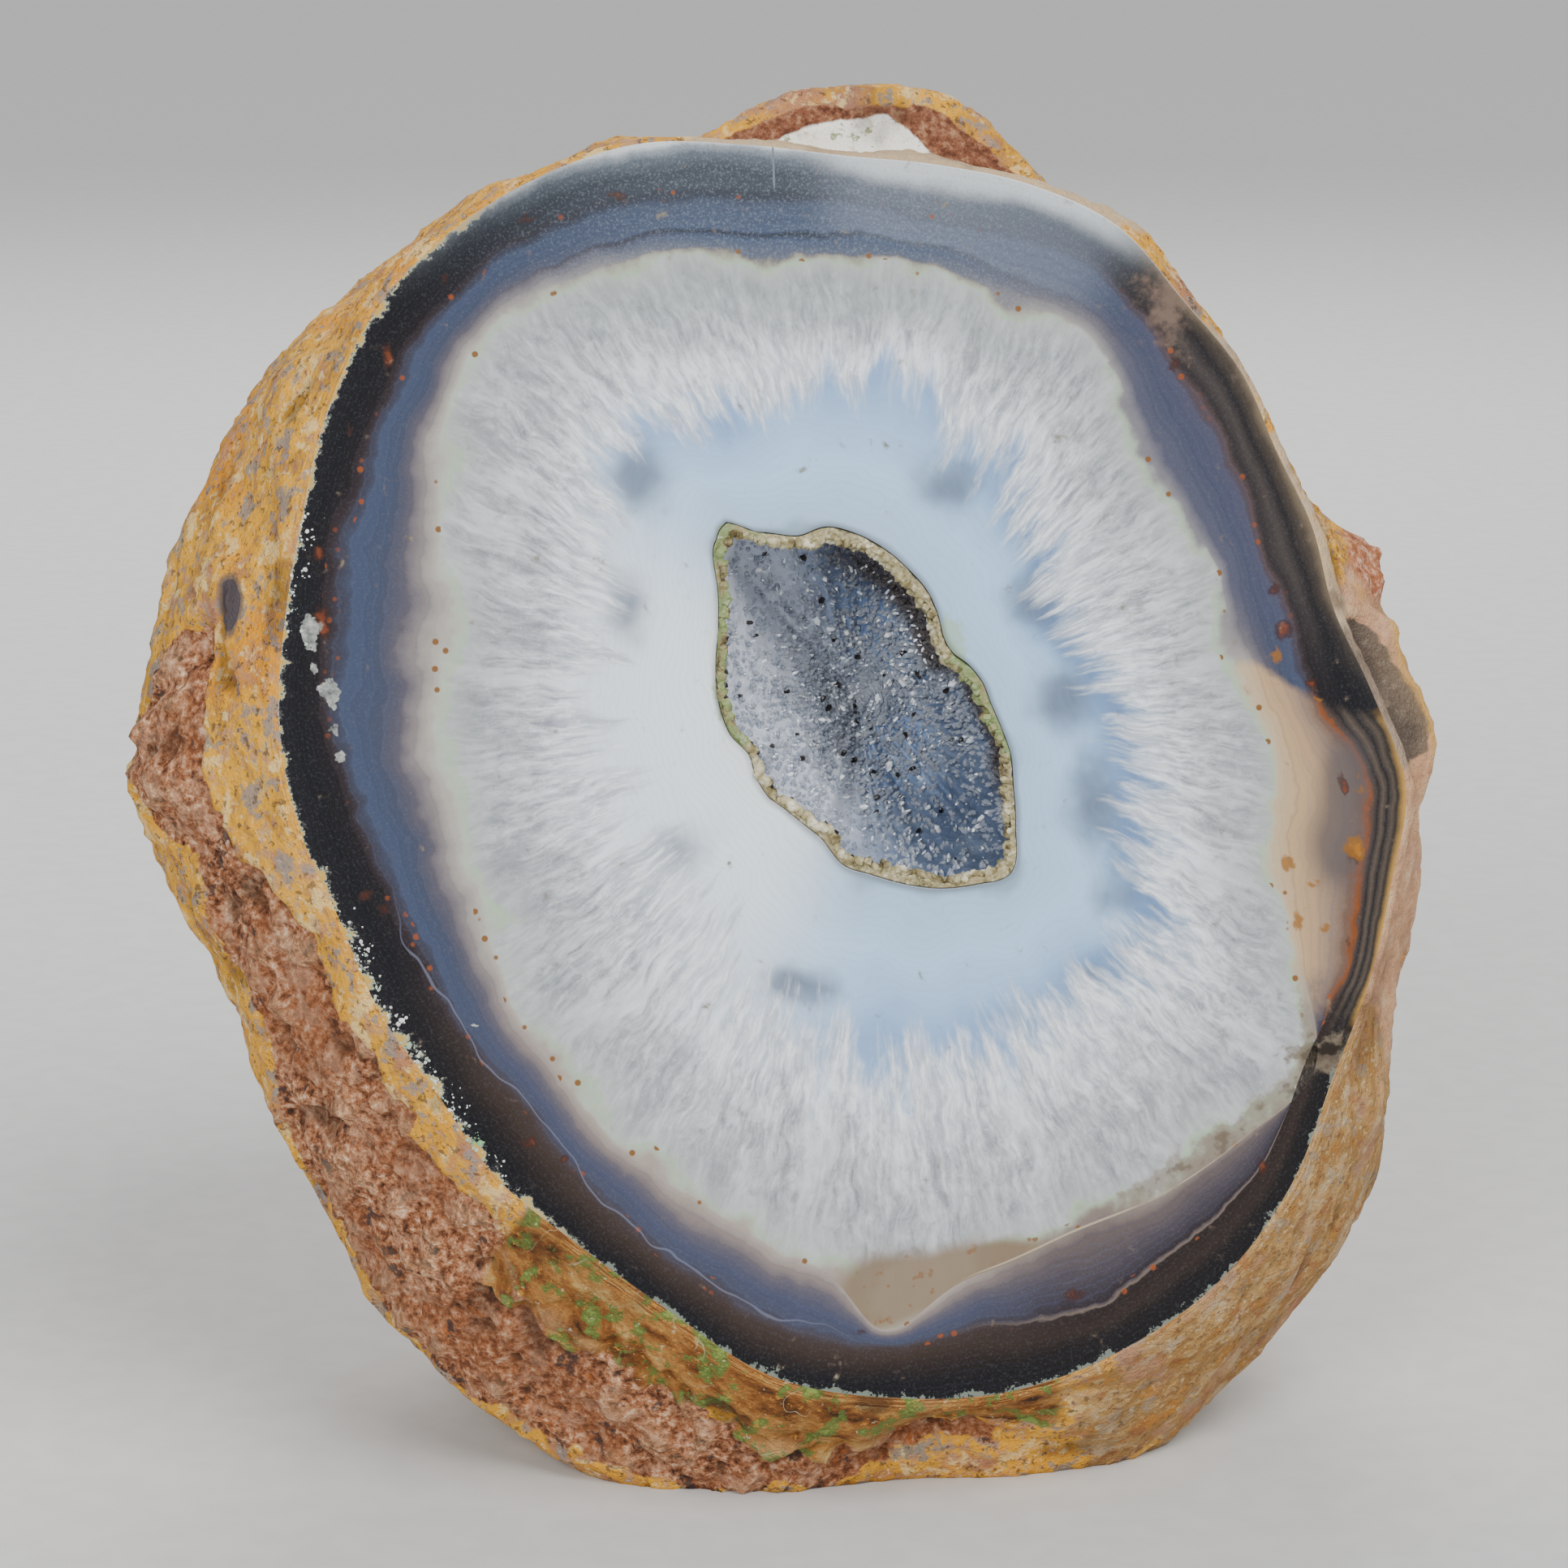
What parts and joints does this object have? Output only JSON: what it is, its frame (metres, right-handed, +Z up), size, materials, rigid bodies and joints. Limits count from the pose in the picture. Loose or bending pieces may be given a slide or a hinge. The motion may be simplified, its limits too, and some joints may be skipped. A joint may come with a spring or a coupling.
{
  "type": "agate druse",
  "caption": "Half of an agate nodule, polished on its face and sawn flat under its foot, with a crystal-lined hollow; stands by itself as an ornament.",
  "frame": {"origin": "on the ground, under the middle of the stone's bounding box", "axes": "+Z up; the polished face looks along -Y and leans back 15 degrees; +X to the right when facing it"},
  "size_m": [0.117, 0.0799, 0.1206],
  "materials": {
    "agate_rind": "rough weathered rind, polished face",
    "drusy_quartz": "glassy crystals"
  },
  "bodies": {
    "root": {"agate_stone": "agate_rind", "druse_crust": "drusy_quartz"}
  },
  "joints": []
}
